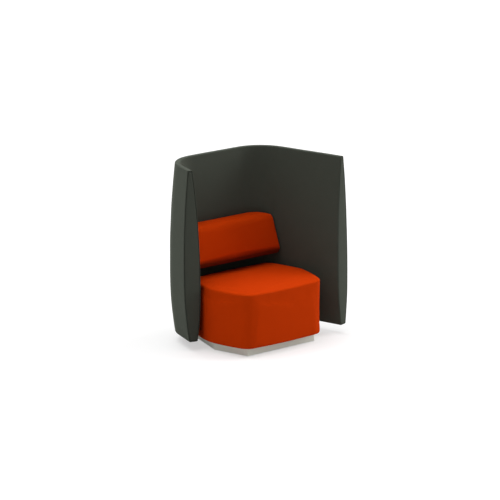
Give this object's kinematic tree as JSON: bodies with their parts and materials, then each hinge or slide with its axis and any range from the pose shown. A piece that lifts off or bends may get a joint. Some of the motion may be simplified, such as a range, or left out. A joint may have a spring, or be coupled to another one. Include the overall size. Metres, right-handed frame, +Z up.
{
  "type": "acoustic high back lounge chair",
  "caption": "Upholstered lounge seat and hung back cushion inside a tall, curved acoustic screen with one long wing, on a low timber plinth.",
  "frame": {"origin": "on the floor, under the middle of the chair's bounding box", "axes": "+Z up; -Y is the way the sitter faces; +X towards the long wing, which is on the sitter's left"},
  "size_m": [1.2032, 0.8549, 1.274],
  "materials": {
    "screen_fabric": "plain grey-green wool felt",
    "seat_fabric": "plain orange wool cloth",
    "plinth_board": "pale satin lacquer",
    "plywood": "bare",
    "foam": "open-cell foam",
    "webbing": "woven elastic",
    "dust_cloth": "thin non-woven",
    "black_steel": "matte powder coat",
    "zinc_steel": "zinc plated",
    "glide_plastic": "moulded"
  },
  "bodies": {
    "chair": {"seat_cover": "seat_fabric", "seat_foam": "foam", "seat_webbing": "webbing", "seat_deck": "plywood", "seat_center_rail": "plywood", "carcass_front": "plywood", "carcass_front_right": "plywood", "carcass_rear_right": "plywood", "carcass_rear": "plywood", "carcass_rear_left": "plywood", "carcass_front_left": "plywood", "carcass_blocks": "plywood", "base_board": "plywood", "dust_cover": "dust_cloth", "plinth_front": "plinth_board", "plinth_front_right": "plinth_board", "plinth_rear_right": "plinth_board", "plinth_rear": "plinth_board", "plinth_rear_left": "plinth_board", "plinth_front_left": "plinth_board", "plinth_blocks": "plywood", "plinth_screws": "zinc_steel", "glide_nuts": "zinc_steel", "screen_back_core": "plywood", "screen_left_core": "plywood", "screen_right_core": "plywood", "screen_left_corner": "plywood", "screen_right_corner": "plywood", "screen_dowels": "plywood", "screen_outer_pad": "screen_fabric", "screen_inner_pad": "screen_fabric", "screen_top_strip": "screen_fabric", "screen_bottom_strip": "screen_fabric", "screen_left_end": "screen_fabric", "screen_right_end": "screen_fabric", "screen_base_bolts": "zinc_steel", "screen_barrel_nuts": "zinc_steel", "rear_arm_left": "black_steel", "rear_arm_right": "black_steel", "side_arm_left": "black_steel", "side_arm_right": "black_steel", "arm_screws": "zinc_steel", "back_cushion": "seat_fabric", "cushion_board": "plywood", "cushion_bolts": "zinc_steel", "cushion_nuts": "zinc_steel"},
    "glide_front_left": {"glide_foot_front_left": "glide_plastic", "glide_stud_front_left": "zinc_steel"},
    "glide_front_right": {"glide_foot_front_right": "glide_plastic", "glide_stud_front_right": "zinc_steel"},
    "glide_rear_right": {"glide_foot_rear_right": "glide_plastic", "glide_stud_rear_right": "zinc_steel"},
    "glide_rear_left": {"glide_foot_rear_left": "glide_plastic", "glide_stud_rear_left": "zinc_steel"}
  },
  "joints": [
    {"name": "glide_front_left_height", "type": "slide", "parent": "chair", "child": "glide_front_left", "axis": [0, 0, -1], "range_m": [0, 0.01]},
    {"name": "glide_front_right_height", "type": "slide", "parent": "chair", "child": "glide_front_right", "axis": [0, 0, -1], "range_m": [0, 0.01]},
    {"name": "glide_rear_right_height", "type": "slide", "parent": "chair", "child": "glide_rear_right", "axis": [0, 0, -1], "range_m": [0, 0.01]},
    {"name": "glide_rear_left_height", "type": "slide", "parent": "chair", "child": "glide_rear_left", "axis": [0, 0, -1], "range_m": [0, 0.01]}
  ]
}
